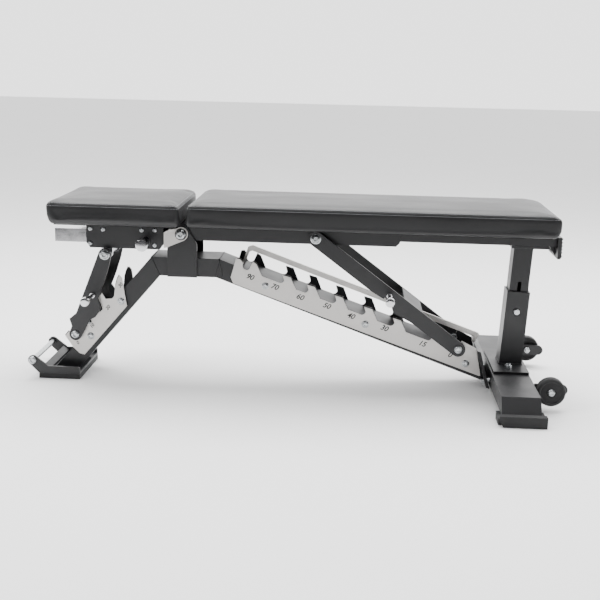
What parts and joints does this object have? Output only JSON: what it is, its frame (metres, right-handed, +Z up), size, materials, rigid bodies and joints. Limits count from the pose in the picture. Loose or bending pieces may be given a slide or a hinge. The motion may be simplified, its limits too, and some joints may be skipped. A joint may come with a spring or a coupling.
{
  "type": "adjustable weight bench",
  "caption": "Adjustable weight bench with a flat to upright back, a sliding and tilting seat, toothed ladders with struts, a rear post and transport wheels.",
  "frame": {"origin": "on the floor under the middle of the bench", "axes": "+X along the bench from the seat end to the wheels, +Y to the far side, +Z up"},
  "size_m": [1.4286, 0.636, 0.5033],
  "materials": {
    "frame_paint": "satin black powder coat",
    "stainless": "finely brushed",
    "chrome": "bright plated",
    "zinc": "bright zinc plated",
    "vinyl": "grained black vinyl",
    "rubber": "matte moulded",
    "wheel": "matte moulded",
    "board": "plywood under black backing cloth"
  },
  "bodies": {
    "base": {"top_tube": "frame_paint", "front_leg_tube": "frame_paint", "rear_spine_tube": "frame_paint", "pivot_bracket_near": "frame_paint", "pivot_bracket_far": "frame_paint", "pivot_bolt": "zinc", "back_ladder_near": "frame_paint", "back_ladder_far": "frame_paint", "back_guard_near": "stainless", "back_guard_far": "stainless", "ladder_retaining_bar": "stainless", "spine_end_flange": "frame_paint", "foot_bolt_near": "zinc", "foot_bolt_far": "zinc", "seat_ladder_near": "frame_paint", "seat_ladder_far": "frame_paint", "seat_guard_near": "stainless", "seat_guard_far": "stainless", "rear_foot_beam": "frame_paint", "rear_foot_cap_near": "rubber", "rear_foot_cap_far": "rubber", "post_base_plate": "frame_paint", "post_sleeve": "frame_paint", "post_bolt": "zinc", "wheel_bracket_near": "frame_paint", "wheel_bracket_far": "frame_paint", "axle_bolt_near": "zinc", "axle_bolt_far": "zinc", "front_foot_channel": "frame_paint", "front_foot_pad": "rubber", "lift_bar": "zinc"},
    "wheel_near": {"wheel_near": "wheel"},
    "wheel_far": {"wheel_far": "wheel"},
    "post_slider": {"post_inner": "frame_paint"},
    "back": {"back_channel": "frame_paint", "back_frame_tube": "frame_paint", "landing_plate": "frame_paint", "end_plate": "frame_paint", "end_rubber": "rubber", "back_pad": "vinyl", "back_pad_board": "board"},
    "back_strut": {"back_strut_frame": "frame_paint", "back_strut_bolt": "zinc", "back_strut_pin_near": "zinc", "back_strut_pin_far": "zinc", "back_strut_handle": "chrome"},
    "rail": {"seat_rail": "chrome", "rail_yoke": "stainless", "rail_strut_lug": "chrome"},
    "carriage": {"seat_carriage": "frame_paint", "seat_pad": "vinyl", "seat_pad_board": "board", "pop_pin_housing": "zinc"},
    "pop_pin": {"pop_pin": "chrome"},
    "seat_strut": {"seat_strut_frame": "frame_paint", "seat_strut_bolt": "zinc", "seat_strut_pin_near": "zinc", "seat_strut_pin_far": "zinc", "seat_strut_handle": "chrome"}
  },
  "joints": [
    {"name": "back_hinge", "type": "hinge", "parent": "base", "child": "back", "pos_m": [-0.3005, 0, 0.404], "axis": [0, -1, 0], "range_deg": [0, 90]},
    {"name": "back_strut_hinge", "type": "hinge", "parent": "back", "child": "back_strut", "pos_m": [0.0575, 0, 0.404], "axis": [0, 1, 0], "range_deg": [0, 114.3]},
    {"name": "seat_tilt", "type": "hinge", "parent": "base", "child": "rail", "pos_m": [-0.3005, 0, 0.404], "axis": [0, 1, 0], "range_deg": [0, 10]},
    {"name": "seat_slide", "type": "slide", "parent": "rail", "child": "carriage", "axis": [-1, 0, 0], "range_m": [0, 0.15]},
    {"name": "pop_pin_pull", "type": "slide", "parent": "carriage", "child": "pop_pin", "axis": [0, -1, 0], "range_m": [0, 0.006], "stiffness_N_per_m": 1500},
    {"name": "seat_strut_hinge", "type": "hinge", "parent": "rail", "child": "seat_strut", "pos_m": [-0.5045, 0, 0.343], "axis": [0, -1, 0], "range_deg": [0, 6.75]},
    {"name": "post_height", "type": "slide", "parent": "base", "child": "post_slider", "axis": [-0.0518, 0, -0.9987], "range_m": [0, 0.076]},
    {"name": "wheel_near_spin", "type": "hinge", "parent": "base", "child": "wheel_near", "pos_m": [0.6683, -0.189, 0.052], "axis": [0, 1, 0], "continuous": true},
    {"name": "wheel_far_spin", "type": "hinge", "parent": "base", "child": "wheel_far", "pos_m": [0.6683, 0.189, 0.052], "axis": [0, 1, 0], "continuous": true}
  ],
  "couplings": [
    {"joint": "back_strut_hinge", "follows": "back_hinge", "ratio": 1.27},
    {"joint": "seat_tilt", "follows": "back_hinge", "ratio": 0.11111},
    {"joint": "seat_slide", "follows": "back_hinge", "m_per_rad": 0.095493},
    {"joint": "seat_strut_hinge", "follows": "back_hinge", "ratio": 0.075}
  ]
}
